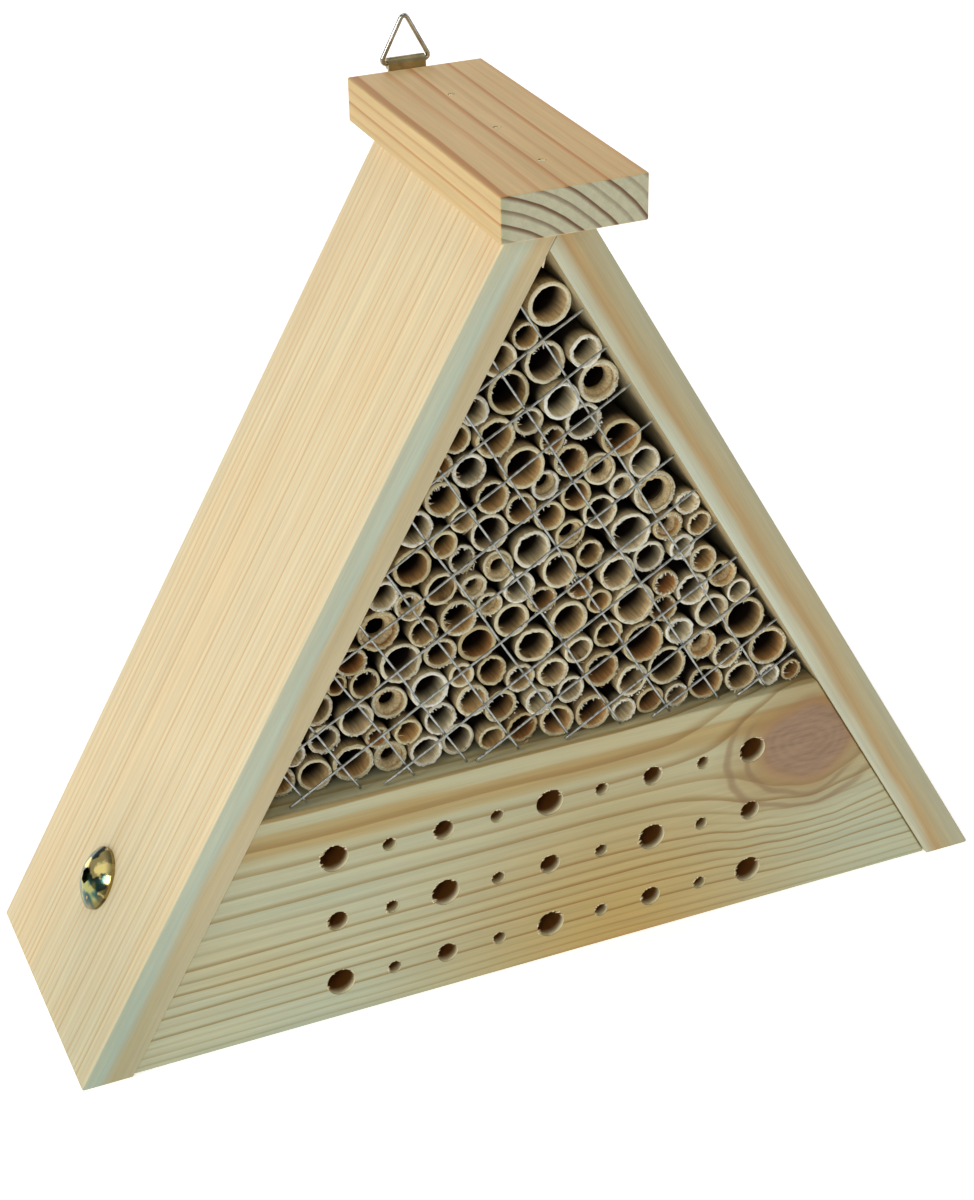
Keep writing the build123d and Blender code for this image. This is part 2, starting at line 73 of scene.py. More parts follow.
class Shader:
    """A material with one principled shader, and short calls that add nodes to it."""

    def __init__(self, name, roughness=0.5, metallic=0.0, specular=0.5):
        self.material = bpy.data.materials.new(name)
        self.material.use_nodes = True
        self.tree = self.material.node_tree
        self.tree.nodes.clear()
        output = self.tree.nodes.new("ShaderNodeOutputMaterial")
        self.principled = self.tree.nodes.new("ShaderNodeBsdfPrincipled")
        self.tree.links.new(self.principled.outputs[0], output.inputs[0])
        self.principled.inputs["Roughness"].default_value = roughness
        self.principled.inputs["Metallic"].default_value = metallic
        self.principled.inputs["Specular IOR Level"].default_value = specular

    def put(self, socket, value):
        """Link a node's output to a socket, or set a constant on it."""
        if isinstance(value, bpy.types.NodeSocket):
            self.tree.links.new(value, socket)
        else:
            socket.default_value = value

    def math(self, operation, first, second=0.0):
        node = self.tree.nodes.new("ShaderNodeMath")
        node.operation = operation
        for socket, value in zip(node.inputs, (first, second)):
            self.put(socket, value)
        return node.outputs[0]

    def times(self, first, second):
        return self.math("MULTIPLY", first, second)

    def grey(self, value):
        """The same value in all three colour channels."""
        return self.combine(value, value, value)

    def vector(self, operation, first, second=(0, 0, 0)):
        node = self.tree.nodes.new("ShaderNodeVectorMath")
        node.operation = operation
        self.put(node.inputs[0], first)
        self.put(node.inputs[1], second)
        return node.outputs["Value" if operation in ("DOT_PRODUCT", "LENGTH") else "Vector"]

    def combine(self, x, y, z):
        node = self.tree.nodes.new("ShaderNodeCombineXYZ")
        for socket, value in zip(node.inputs, (x, y, z)):
            self.put(socket, value)
        return node.outputs[0]

    def place(self):
        """Position on the object in millimetres; it stays with the piece when it moves."""
        coordinates = self.tree.nodes.new("ShaderNodeTexCoord")
        scaled = self.tree.nodes.new("ShaderNodeVectorMath")
        scaled.operation = "SCALE"
        scaled.inputs["Scale"].default_value = 1 / MM
        self.tree.links.new(coordinates.outputs["Object"], scaled.inputs[0])
        return scaled.outputs[0]

    def noise(self, place, scale=1.0, detail=2.0, roughness=0.5):
        node = self.tree.nodes.new("ShaderNodeTexNoise")
        self.put(node.inputs["Vector"], place)
        node.inputs["Scale"].default_value = scale
        node.inputs["Detail"].default_value = detail
        node.inputs["Roughness"].default_value = roughness
        return node.outputs[0]

    def cells(self, place, scale):
        node = self.tree.nodes.new("ShaderNodeTexVoronoi")
        self.put(node.inputs["Vector"], place)
        node.inputs["Scale"].default_value = scale
        return node.outputs["Distance"]

    def random_value(self, value):
        node = self.tree.nodes.new("ShaderNodeTexWhiteNoise")
        node.noise_dimensions = "1D"
        self.put(node.inputs["W"], value)
        return node.outputs["Value"]

    def remap(self, value, low, high, new_low=0.0, new_high=1.0):
        node = self.tree.nodes.new("ShaderNodeMapRange")
        node.interpolation_type = "SMOOTHSTEP"
        self.put(node.inputs["Value"], value)
        node.inputs["From Min"].default_value = low
        node.inputs["From Max"].default_value = high
        node.inputs["To Min"].default_value = new_low
        node.inputs["To Max"].default_value = new_high
        return node.outputs[0]

    def ramp(self, value, stops):
        node = self.tree.nodes.new("ShaderNodeValToRGB")
        elements = node.color_ramp.elements
        while len(elements) < len(stops):
            elements.new(0.5)
        for element, (position, colour) in zip(elements, stops):
            element.position = position
            element.color = colour
        self.put(node.inputs[0], value)
        return node.outputs[0]

    def mix(self, factor, first, second, blend="MIX"):
        node = self.tree.nodes.new("ShaderNodeMix")
        node.data_type = "RGBA"
        node.blend_type = blend
        self.put(node.inputs["Factor"], factor)
        self.put(node.inputs[6], first)
        self.put(node.inputs[7], second)
        return node.outputs[2]

    def facing(self):
        """The surface's own direction, fixed to the piece."""
        return self.tree.nodes.new("ShaderNodeTexCoord").outputs["Normal"]

    def attribute(self, name):
        node = self.tree.nodes.new("ShaderNodeAttribute")
        node.attribute_name = name
        return node.outputs["Fac"]

    def bump(self, height, strength, distance):
        node = self.tree.nodes.new("ShaderNodeBump")
        node.inputs["Strength"].default_value = strength
        node.inputs["Distance"].default_value = distance * MM
        self.put(node.inputs["Height"], height)
        self.put(self.principled.inputs["Normal"], node.outputs[0])

    def colour(self, value):
        self.put(self.principled.inputs["Base Color"], value)

    def roughness(self, value):
        self.put(self.principled.inputs["Roughness"], value)


def wear(material, node_name):
    """Give a CAD node's object this material in every slot."""
    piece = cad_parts[node_name]
    if not piece.data.materials:
        piece.data.materials.append(material)
    for index in range(len(piece.data.materials)):
        piece.data.materials[index] = material


# ---------------------------------------------------------------- wood

END_GROUND = linear(205, 214, 212)
END_RING = linear(112, 74, 44)

# How far (mm) each kind of unevenness reaches across the grain and along it.
BEND = (45, 170)
RIPPLE = (9, 60)
COARSE = (1.6, 70)
FIBRE = (0.25, 15)


def drawn_out(shader, axes, reach):
    """A noise position, short across the grain and drawn out along it."""
    across, deep, along = axes
    width, length = reach
    return shader.combine(shader.times(across, 1 / width), shader.times(deep, 1 / width),
                          shader.times(along, 1 / length))


def ring_phase(shader, axes, ring, warp, slowing):
    """Growth rings counted outward from the pith; whole numbers are the rings' ends."""
    across, deep, _ = axes
    bend = shader.noise(drawn_out(shader, axes, BEND), 1.0, 2.0)
    bend = shader.times(shader.math("SUBTRACT", bend, 0.5), warp * 4)
    ripple = shader.noise(drawn_out(shader, axes, RIPPLE), 1.0, 2.0)
    ripple = shader.times(shader.math("SUBTRACT", ripple, 0.5), warp)
    squares = shader.math("ADD", shader.times(across, across), shader.times(deep, deep))
    radius = shader.math("ADD", shader.math("SQRT", squares), shader.math("ADD", bend, ripple))
    if slowing is None:
        return shader.math("DIVIDE", radius, ring)
    from_radius, power = slowing
    phase = shader.math("POWER", shader.math("DIVIDE", radius, from_radius), power)
    return shader.times(phase, from_radius / (ring * power))


def knot_distance(shader, place, centre, size):
    """A point's offset from a knot, and its distance from the knot's slightly uneven middle."""
    offset = shader.vector("SUBTRACT", place, centre)
    offset = shader.vector("MULTIPLY", offset, (0.86, 0.0, 1.0))
    wobble = shader.times(shader.noise(offset, 0.07, 1.0), size * 0.5)
    wobble = shader.math("SUBTRACT", wobble, size * 0.25)
    return offset, shader.math("ADD", shader.vector("LENGTH", offset), wobble)


def push_rings(shader, place, phase, knot):
    """Bend the growth rings round a knot."""
    centre, size, swirl = knot
    _, distance = knot_distance(shader, place, centre, size)
    above = shader.vector("DOT_PRODUCT", shader.vector("SUBTRACT", place, centre), (0, 0, 1 / size))
    bulge = shader.math("DIVIDE", distance, size * 1.7)
    bulge = shader.math("EXPONENT", shader.times(shader.times(bulge, bulge), -1.0))
    return shader.math("ADD", phase, shader.times(shader.times(bulge, above), swirl))


def paint_knot(shader, place, tone, knot):
    """The knot's brown face, the warm wood round it, and two arcs at its lower left."""
    centre, size, _ = knot
    offset, distance = knot_distance(shader, place, centre, size)
    halo = shader.remap(distance, size * 0.9, size * 2.0, 0.8, 0.0)
    tone = shader.mix(halo, tone, linear(224, 196, 160), "MULTIPLY")

    lower_left = shader.vector("DOT_PRODUCT", offset, (-0.6, 0, -0.8))
    lower_left = shader.remap(shader.math("DIVIDE", lower_left, distance), -0.3, 0.5)
    arcs = 0.0
    for share in (1.24, 1.55):
        miss = shader.math("ABSOLUTE", shader.math("SUBTRACT", distance, size * share))
        arcs = shader.math("ADD", arcs, shader.remap(miss, 0.2, 1.3, 0.6, 0.0))
    tone = shader.mix(shader.times(arcs, lower_left), tone, linear(142, 112, 78))

    rings = shader.math("SINE", shader.times(distance, 2.6))
    rings = shader.remap(rings, -1.0, 1.0, 0.0, 0.07)
    grit = shader.noise(shader.vector("MULTIPLY", offset, (0.16, 0.9, 0.9)), 0.7, 5.0, 0.6)
    face = shader.ramp(shader.math("ADD", rings, grit),
                       [(0.3, linear(134, 106, 82)), (0.55, linear(156, 126, 98)),
                        (0.85, linear(172, 140, 108))])
    edge = shader.remap(distance, size * 0.7, size, 0.0, 0.7)
    face = shader.mix(edge, face, linear(172, 132, 86))
    inside = shader.remap(distance, size * 0.78, size * 1.2, 1.0, 0.0)
    return shader.mix(inside, tone, face)


def late_wood(shader, phase, late_width):
    """1 on a ring's dense, dark outer part, else 0; some rings are fainter than others."""
    cycle = shader.math("FRACT", phase)
    contrast = shader.random_value(shader.math("FLOOR", phase))
    contrast = shader.remap(contrast, 0.0, 1.0, 0.25, 1.0)
    rise = shader.remap(cycle, 1.0 - late_width * 1.6, 0.93)
    fall = shader.remap(cycle, 0.94, 1.0, 1.0, 0.0)
    return shader.times(shader.times(rise, fall), contrast)


def end_grain(shader, grain, along, drilled):
    """1 where the fibres are cut across at a board's ends, else 0."""
    end = shader.math("ABSOLUTE", shader.vector("DOT_PRODUCT", shader.facing(), tuple(grain)))
    end = shader.remap(end, 0.75, 0.95)
    if drilled is None:
        return end
    before = shader.math("LESS_THAN", along, drilled[0])
    after = shader.math("GREATER_THAN", along, drilled[1])
    return shader.times(end, shader.math("MAXIMUM", before, after))


def paint_heart(shader, place, coarse, tone, heart):
    """A darker band of heartwood between two depths along an axis."""
    (axis, low, high), colour = heart
    depth = shader.vector("DOT_PRODUCT", place, axis)
    depth = shader.math("ADD", depth, shader.times(coarse, 3.0))
    amount = shader.remap(depth, low, low + 3.0, 0.0, 0.85)
    fade = shader.remap(depth, high - 1.5, high, 1.0, 0.2)
    return shader.mix(shader.times(amount, fade), tone, colour, "MULTIPLY")


def paint_tint_patch_and_shade(shader, place, blotch, tone, tint_patch_and_shade):
    """A soft round patch of another tint. On the left board it is painted shade: the board's lower
    left end is darkened where the light falls off.
    """
    centre, reach, colour = tint_patch_and_shade
    away = shader.vector("LENGTH", shader.vector("SUBTRACT", place, centre))
    away = shader.math("ADD", away, shader.times(blotch, reach * 0.4))
    amount = shader.remap(away, reach * 0.2, reach * 1.2, 1.0, 0.0)
    return shader.mix(amount, tone, colour, "MULTIPLY")


def softwood(name, grain, pith, ring, early, late, warp, late_width=0.28, end_ground=END_GROUND,
             slowing=None, knot=None, drilled=None, nest_holes=False, heart=None, tint_patch_and_shade=None,
             bands=None):
    """Planed softwood, cut from a trunk: growth rings lie round a pith line, so faces, edges
    and ends agree. grain is the trunk's direction, pith a point on its middle (mm), ring the
    rings' spacing (mm), early and late the colours within a ring, warp how far rings wander.
    slowing (radius, power) makes rings narrower outside that radius. knot is (centre, radius,
    swirl) with its branch along Y. drilled (low, high) is the stretch along the grain where
    only holes cut the fibres. heart ((axis, low, high), colour) is a darker band of wood,
    the soft patch (centre, reach, colour) a round patch of another tint, which is painted
    shade on the left board, and bands (side, colours) the colours along a roof board's edges."""
    shader = Shader(name, roughness=0.55, specular=0.35)
    grain = Vector(grain).normalized()
    reference = Vector((1, 0, 0)) if abs(grain.y) > 0.9 else Vector((0, 1, 0))
    side = grain.cross(reference).normalized()
    third = grain.cross(side).normalized()
    place = shader.place()
    local = shader.vector("SUBTRACT", place, tuple(pith))
    axes = [shader.vector("DOT_PRODUCT", local, tuple(axis)) for axis in (side, third, grain)]

    phase = ring_phase(shader, axes, ring, warp, slowing)
    if knot is not None:
        phase = push_rings(shader, place, phase, knot)
    latewood = late_wood(shader, phase, late_width)
    fibres = shader.noise(drawn_out(shader, axes, FIBRE), 1.0, 3.0, 0.6)
    coarse = shader.noise(drawn_out(shader, axes, COARSE), 1.0, 2.0)
    blotch = shader.noise(drawn_out(shader, axes, BEND), 1.7, 3.0, 0.55)

    tone = shader.mix(latewood, shader.ramp(blotch, early), late)
    if bands is not None:
        tone = edge_bands(shader, place, blotch, latewood, tone, bands)
    end_tone = shader.mix(shader.math("POWER", latewood, 0.6), end_ground, END_RING)
    tone = shader.mix(end_grain(shader, grain, axes[2], drilled), tone, end_tone)
    if heart is not None:
        tone = paint_heart(shader, place, coarse, tone, heart)
    # Painted shade: on the left board a soft patch darkens the lower left end; on the block it is a
    # warm patch low on the front.
    if tint_patch_and_shade is not None:
        tone = paint_tint_patch_and_shade(shader, place, blotch, tone, tint_patch_and_shade)
    streaks = shader.remap(coarse, 0.3, 0.75, 0.92, 1.025)
    tone = shader.mix(1.0, tone, shader.grey(streaks), "MULTIPLY")
    fine = shader.remap(fibres, 0.25, 0.8, 0.9, 1.05)
    tone = shader.mix(1.0, tone, shader.grey(fine), "MULTIPLY")
    if knot is not None:
        tone = paint_knot(shader, place, tone, knot)
    if nest_holes:
        # Painted light and shade in the nest holes: the walls are painted pale, then darker brown a
        # few mm in.
        painted_wall_light, deep = hole_light_and_shade(shader, place)
        tone = shader.mix(painted_wall_light, tone, linear(255, 247, 204))
        tone = shader.mix(deep, tone, linear(128, 84, 42), "MULTIPLY")
    shader.colour(tone)
    shader.roughness(shader.remap(fibres, 0.3, 0.7, 0.5, 0.66))
    height = shader.math("ADD", shader.times(fibres, 0.6), shader.times(latewood, 0.5))
    shader.bump(height, 0.35, 0.12)
    return shader.material


def edge_bands(shader, place, blotch, latewood, tone, bands):
    """Colours that run along a roof board's edges in bands, from its outer to its inner face."""
    side, colours = bands
    normal = (math.sin(SLOPE) * side, 0, math.cos(SLOPE))
    outer = HALF_WIDTH * math.sin(SLOPE)
    depth = shader.math("SUBTRACT", outer, shader.vector("DOT_PRODUCT", place, normal))
    wander = shader.times(shader.math("SUBTRACT", blotch, 0.5), 9.0)
    share = shader.math("DIVIDE", shader.math("ADD", depth, wander), BOARD_THICKNESS)
    band = shader.ramp(share, colours)
    band = shader.mix(shader.times(latewood, 0.3), band, linear(178, 156, 116))
    facing = shader.math("ABSOLUTE", shader.vector("DOT_PRODUCT", shader.facing(), (0, 1, 0)))
    return shader.mix(shader.remap(facing, 0.6, 0.9), tone, band)


def hole_light_and_shade(shader, place):
    """Two masks for the walls of the drilled holes: painted light that makes the wall pale from the
    mouth inward, and painted shade that darkens it from just behind the mouth deeper in."""
    x = shader.math("ABSOLUTE", shader.vector("DOT_PRODUCT", place, (1, 0, 0)))
    y = shader.vector("DOT_PRODUCT", place, (0, 1, 0))
    z = shader.vector("DOT_PRODUCT", place, (0, 0, 1))
    behind = shader.math("SUBTRACT", y, BLOCK_LOW.y / MM)
    within = shader.math("LESS_THAN", x, HOLES_HALF_SPAN)
    above = shader.math("GREATER_THAN", z, HOLES_MARGIN)
    below = shader.math("LESS_THAN", z, BLOCK_HIGH.z / MM - HOLES_MARGIN)
    inside = shader.times(within, shader.times(above, below))
    # Painted light on the whole wall from 0.1 mm in, and painted shade from 0.2 mm to 3.4 mm in.
    painted_wall_light = shader.times(inside, shader.remap(behind, 0.1, 0.5))
    deep = shader.times(inside, shader.remap(behind, 0.2, 3.4))
    return painted_wall_light, deep


def plywood(name):
    """Thin birch-like plywood: a rotary-cut face, with three plies showing on its edges."""
    shader = Shader(name, roughness=0.6, specular=0.3)
    place = shader.place()
    swirl = shader.noise(shader.vector("MULTIPLY", place, (1 / 60, 1 / 60, 1 / 220)), 1.0, 3.0)
    x = shader.vector("DOT_PRODUCT", place, (1, 0, 0))
    bands = shader.math("ADD", shader.times(x, 0.22), shader.times(swirl, 26.0))
    bands = shader.math("SINE", bands)
    fibres = shader.noise(shader.vector("MULTIPLY", place, (3.0, 3.0, 0.07)), 1.0, 3.0, 0.6)
    face = shader.ramp(shader.remap(bands, -1.0, 1.0),
                       [(0.0, linear(216, 184, 138)), (1.0, linear(196, 158, 108))])
    y = shader.vector("DOT_PRODUCT", place, (0, 1, 0))
    ply = shader.math("PINGPONG", shader.math("SUBTRACT", y, FRONT / MM), 1.0)
    core = shader.remap(ply, 0.35, 0.5, 0.0, 0.35)
    tone = shader.mix(core, face, linear(150, 108, 66))
    fine = shader.remap(fibres, 0.25, 0.8, 0.82, 1.06)
    shader.colour(shader.mix(1.0, tone, shader.grey(fine), "MULTIPLY"))
    shader.bump(fibres, 0.4, 0.12)
    return shader.material


# ---------------------------------------------------------------- metals

def zinc_wire(name):
    """Bright galvanised wire with a faintly uneven coating."""
    shader = Shader(name, roughness=0.3, metallic=1.0)
    place = shader.place()
    drips = shader.noise(place, 0.9, 3.0, 0.6)
    shader.colour(shader.ramp(drips, [(0.3, linear(128, 132, 130)), (0.7, linear(198, 202, 198))]))
    shader.roughness(shader.remap(drips, 0.2, 0.8, 0.22, 0.5))
    shader.bump(drips, 0.35, 0.15)
    return shader.material


def plated_metal(name, dark, bright, roughness, metallic=1.0):
    """Plated metal: patchy colour, tiny scratches and duller patches."""
    shader = Shader(name, roughness=roughness, metallic=metallic)
    place = shader.place()
    patches = shader.noise(place, 0.22, 3.0, 0.6)
    fine = shader.noise(shader.vector("MULTIPLY", place, (9.0, 1.1, 2.3)), 1.0, 2.0, 0.7)
    shader.colour(shader.ramp(patches, [(0.3, dark), (0.7, bright)]))
    shader.roughness(shader.remap(fine, 0.3, 0.75, roughness * 0.75, roughness * 1.5))
    shader.bump(fine, 0.12, 0.08)
    return shader.material


# Centre of the painted window reflection and radii of the painted dark rim reflection, in mm on the
# bolt head.
WINDOW_REFLECTION_CENTRE = (-3.9, 4.9, 0.0)
BOLT_RIM_REFLECTION = (6.6, 8.3)


def bolt_metal(name):
    """Polished yellow zinc. Its thin film gives olive, teal and straw patches, partly the plating's
    own colour and partly painted reflection: a bright straw patch up the slope is a painted
    reflection of a window, and the dark rim is a painted dark reflection. Places on the head are
    (towards the back, up the slope) in mm from its middle."""
    shader = Shader(name, roughness=0.12, metallic=1.0)
    place = shader.place()
    x = shader.math("ABSOLUTE", shader.vector("DOT_PRODUCT", place, (1, 0, 0)))
    y = shader.vector("DOT_PRODUCT", place, (0, 1, 0))
    z = shader.vector("DOT_PRODUCT", place, (0, 0, 1))
    low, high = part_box("left_connector_bolt")
    centre_y = (low[1] + high[1]) / 2 / MM
    rise = BOLT_ALONG_SLOPE * math.sin(SLOPE)
    out = HALF_WIDTH - BOLT_ALONG_SLOPE * math.cos(SLOPE)
    up = shader.times(shader.math("SUBTRACT", z, rise), math.sin(SLOPE))
    outward = shader.times(shader.math("SUBTRACT", x, out), math.cos(SLOPE))
    up_slope = shader.math("SUBTRACT", up, outward)
    across = shader.math("SUBTRACT", y, centre_y)
    flat = shader.combine(across, up_slope, 0.0)
    radius = shader.vector("LENGTH", flat)
    film = shader.noise(shader.vector("ADD", flat, (4.0, 3.0, 0.0)), 0.16, 2.0, 0.5)
    # Painted reflection: the film colours shift up the slope, so a bright straw band lies where a
    # light's reflection would show; the noise patches are the film's own colour.
    film_and_reflection = shader.math("ADD", film, shader.times(up_slope, 0.025))
    tone = shader.ramp(film_and_reflection, [(0.2, linear(150, 152, 96)), (0.38, linear(168, 166, 100)),
                                    (0.46, linear(70, 104, 96)), (0.54, linear(52, 70, 64)),
                                    (0.58, linear(255, 230, 146)), (0.74, linear(255, 240, 172)),
                                    (0.84, linear(150, 124, 70))])
    # Painted reflection: a bright straw patch, made less metallic, stands for a window's reflection
    # in the dome.
    spot = shader.vector("LENGTH", shader.vector("SUBTRACT", flat, WINDOW_REFLECTION_CENTRE))
    spot = shader.math("ADD", spot, shader.times(shader.noise(flat, 0.45, 2.0), 4.0))
    straw = shader.remap(spot, 3.6, 4.7, 1.0, 0.0)
    tone = shader.mix(straw, tone, linear(255, 236, 150))
    metallic = shader.math("SUBTRACT", 1.0, shader.times(straw, 0.7))
    shader.put(shader.principled.inputs["Metallic"], metallic)
    # Painted reflection: the dome darkens towards its rim, as if reflecting darker surroundings.
    rim = shader.remap(radius, *BOLT_RIM_REFLECTION, 0.0, 0.75)
    tone = shader.mix(rim, tone, linear(104, 88, 52))
    fine = shader.noise(shader.vector("MULTIPLY", place, (9.0, 1.1, 2.3)), 1.0, 2.0, 0.7)
    shader.colour(tone)
    shader.roughness(shader.remap(fine, 0.3, 0.75, 0.08, 0.2))
    shader.bump(fine, 0.1, 0.05)
    return shader.material


# ---------------------------------------------------------------- reed materials

def behind_cut(shader, place):
    """Distance behind the reeds' cut ends in mm; the ends stand further out at the right."""
    lean = shader.vector("DOT_PRODUCT", place, (REED_LEAN, 1, 0))
    return shader.math("SUBTRACT", lean, FRONT / MM + REED_RECESS)


def reed_skin(name):
    """The reeds' weathered outer skin, streaked along its length, with painted shade that turns it
    nearly black just behind the cut ends.
    """
    shader = Shader(name, roughness=0.5, specular=0.4)
    place = shader.place()
    tint = shader.attribute("tint")
    streaks = shader.noise(shader.vector("MULTIPLY", place, (2.2, 0.05, 2.2)), 1.0, 3.0, 0.6)
    tone = shader.ramp(tint, [(0.0, linear(158, 128, 88)), (0.5, linear(198, 172, 124)),
                              (1.0, linear(220, 200, 154))])
    shade = shader.remap(streaks, 0.25, 0.8, 0.6, 1.1)
    tone = shader.mix(1.0, tone, shader.grey(shade), "MULTIPLY")
    # Painted shade: the skin darkens to near black within a few mm behind the cut ends, in the gaps
    # between the reeds.
    deep = shader.remap(behind_cut(shader, place), -0.6, 4.5)
    shader.colour(shader.mix(deep, tone, linear(36, 28, 20)))
    shader.bump(streaks, 0.5, 0.25)
    return shader.material


def reed_rim(name):
    """The sawn ends: pale straw with a darker skin line and torn fibre ends."""
    shader = Shader(name, roughness=0.75, specular=0.2)
    place = shader.place()
    tint = shader.attribute("tint")
    rough = shader.noise(place, 2.4, 4.0, 0.7)
    dots = shader.cells(place, 2.6)
    tone = shader.ramp(tint, [(0.0, linear(204, 186, 138)), (0.45, linear(236, 226, 184)),
                              (0.8, linear(252, 246, 218)), (1.0, linear(255, 254, 240))])
    tone = shader.mix(shader.remap(rough, 0.5, 0.85, 0.0, 0.6), tone, linear(164, 128, 84))
    tone = shader.mix(shader.remap(dots, 0.0, 0.3, 0.35, 0.0), tone, linear(132, 100, 66))
    shader.colour(tone)
    shader.bump(shader.math("ADD", rough, dots), 0.7, 0.3)
    return shader.material


def reed_bore(name):
    """The inner wall: warm brown skin, with painted shade that darkens it deeper in."""
    shader = Shader(name, roughness=0.65, specular=0.25)
    place = shader.place()
    tint = shader.attribute("tint")
    streaks = shader.noise(shader.vector("MULTIPLY", place, (1.6, 0.12, 1.6)), 1.0, 4.0, 0.65)
    # Painted shade: the wall darkens to near black over the first 8 mm inside the bore.
    deep = shader.remap(behind_cut(shader, place), 0.3, 8.0)
    tone = shader.ramp(tint, [(0.0, linear(206, 148, 86)), (0.5, linear(240, 204, 142)),
                              (1.0, linear(254, 242, 206))])
    shade = shader.remap(streaks, 0.25, 0.75, 0.7, 1.25)
    tone = shader.mix(1.0, tone, shader.grey(shade), "MULTIPLY")
    shader.colour(shader.mix(deep, tone, linear(34, 22, 14)))
    shader.bump(streaks, 0.5, 0.25)
    return shader.material


def reed_pith(name):
    """Dry, crumbly pith and torn fibres."""
    shader = Shader(name, roughness=0.9, specular=0.1)
    place = shader.place()
    crumbs = shader.noise(place, 1.6, 4.0, 0.75)
    shader.colour(shader.ramp(crumbs, [(0.3, linear(200, 166, 112)), (0.5, linear(232, 208, 158)),
                                       (0.75, linear(250, 240, 208))]))
    shader.bump(crumbs, 0.9, 0.6)
    return shader.material


# ---------------------------------------------------------------- mesh helpers

def cad_islands(node_name):
    """The separate solids of a CAD node, each as a list of corner positions."""
    mesh = bmesh.new()
    mesh.from_mesh(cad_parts[node_name].data)
    bmesh.ops.remove_doubles(mesh, verts=mesh.verts, dist=1e-6)
    seen = set()
    islands = []
    for first in mesh.verts:
        if first in seen:
            continue
        seen.add(first)
        waiting = [first]
        corners = []
        while waiting:
            vertex = waiting.pop()
            corners.append(vertex.co.copy())
            for edge in vertex.link_edges:
                other = edge.other_vert(vertex)
                if other not in seen:
                    seen.add(other)
                    waiting.append(other)
        islands.append(corners)
    mesh.free()
    return islands


class Builder:
    """Collects corners and faces, then makes one object from them."""

    def __init__(self):
        self.corners = []
        self.faces = []
        self.slots = []
        self.tints = []

    def loop(self, points, tint):
        """Add a ring of corners and return their numbers."""
        start = len(self.corners)
        self.corners.extend(points)
        self.tints.extend([tint] * len(points))
        return list(range(start, start + len(points)))

    def bridge(self, first, second, slot):
        """Join two rings with quads."""
        count = len(first)
        for i in range(count):
            j = (i + 1) % count
            self.faces.append((first[i], first[j], second[j], second[i]))
            self.slots.append(slot)

    def cap(self, ring, slot, centre, tint):
        """Close a ring with a fan of triangles to a middle point."""
        middle = self.loop([centre], tint)[0]
        count = len(ring)
        for i in range(count):
            self.faces.append((ring[i], ring[(i + 1) % count], middle))
            self.slots.append(slot)

    def build(self, name, materials):
        """Make the object, with smooth faces, and let it ride on the hotel."""
        mesh = bpy.data.meshes.new(name)
        mesh.from_pydata([tuple(c) for c in self.corners], [], self.faces)
        for material in materials:
            mesh.materials.append(material)
        mesh.polygons.foreach_set("material_index", self.slots)
        layer = mesh.attributes.new("tint", "FLOAT", "POINT")
        layer.data.foreach_set("value", self.tints)
        repair = bmesh.new()
        repair.from_mesh(mesh)
        bmesh.ops.recalc_face_normals(repair, faces=repair.faces)
        repair.to_mesh(mesh)
        repair.free()
        for polygon in mesh.polygons:
            polygon.use_smooth = True
        mesh.update()
        piece = bpy.data.objects.new(name, mesh)
        bpy.context.collection.objects.link(piece)
        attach(piece, "hotel")
        return piece


def tube_along(builder, points, radii, sides, slot, tint):
    """A round bar through a list of points, closed at both ends."""
    rings = []
    for index, point in enumerate(points):
        before = points[max(index - 1, 0)]
        after = points[min(index + 1, len(points) - 1)]
        direction = (after - before).normalized()
        reference = Vector((0, 1, 0)) if abs(direction.y) < 0.9 else Vector((1, 0, 0))
        side = direction.cross(reference).normalized()
        up = direction.cross(side).normalized()
        ring = []
        for step in range(sides):
            angle = math.tau * step / sides
            ring.append(point + (side * math.cos(angle) + up * math.sin(angle)) * radii[index])
        rings.append(builder.loop(ring, tint))
    for first, second in zip(rings, rings[1:]):
        builder.bridge(first, second, slot)
    builder.cap(rings[0], slot, points[0], tint)
    builder.cap(rings[-1], slot, points[-1], tint)


# ---------------------------------------------------------------- reeds

REED_SIDES = 48
REED_RECESS = 6.0
REED_LEAN = 0.035
BORE_DEPTHS = (1.5, 5.0, 14.0, 40.0)
PITH_CHANCE = 0.16
FIBRES_CHANCE = 0.85
FRINGE_CHANCE = 0.75
SKIN, RIM, BORE, PITH = range(4)


def reed_shape(corners):
    """Centre (x, z), outer and inner radius, and front and back of one CAD reed."""
    low = Vector(map(min, zip(*corners)))
    high = Vector(map(max, zip(*corners)))
    x = (low.x + high.x) / 2
    z = (low.z + high.z) / 2
    outer = (high.x - low.x) / 2
    inner = min(math.hypot(c.x - x, c.z - z) for c in corners)
    return x, z, outer, inner, low.y, high.y


def wave(angle, phases, sizes):
    """A smooth wobble round a circle, between about -1 and 1."""
    total = 0.0
    for turns, (phase, size) in enumerate(zip(phases, sizes), start=2):
        total += size * math.sin(turns * angle + phase)
    return total


def reed_ring(x, z, y_at, radius_at):
    """A ring of points round a reed; depth and radius depend on the angle."""
    points = []
    for step in range(REED_SIDES):
        angle = math.tau * step / REED_SIDES
        radius = radius_at(angle)
        across = radius * math.cos(angle)
        up = radius * math.sin(angle)
        points.append(Vector((x + across, y_at(angle), z + up)))
    return points


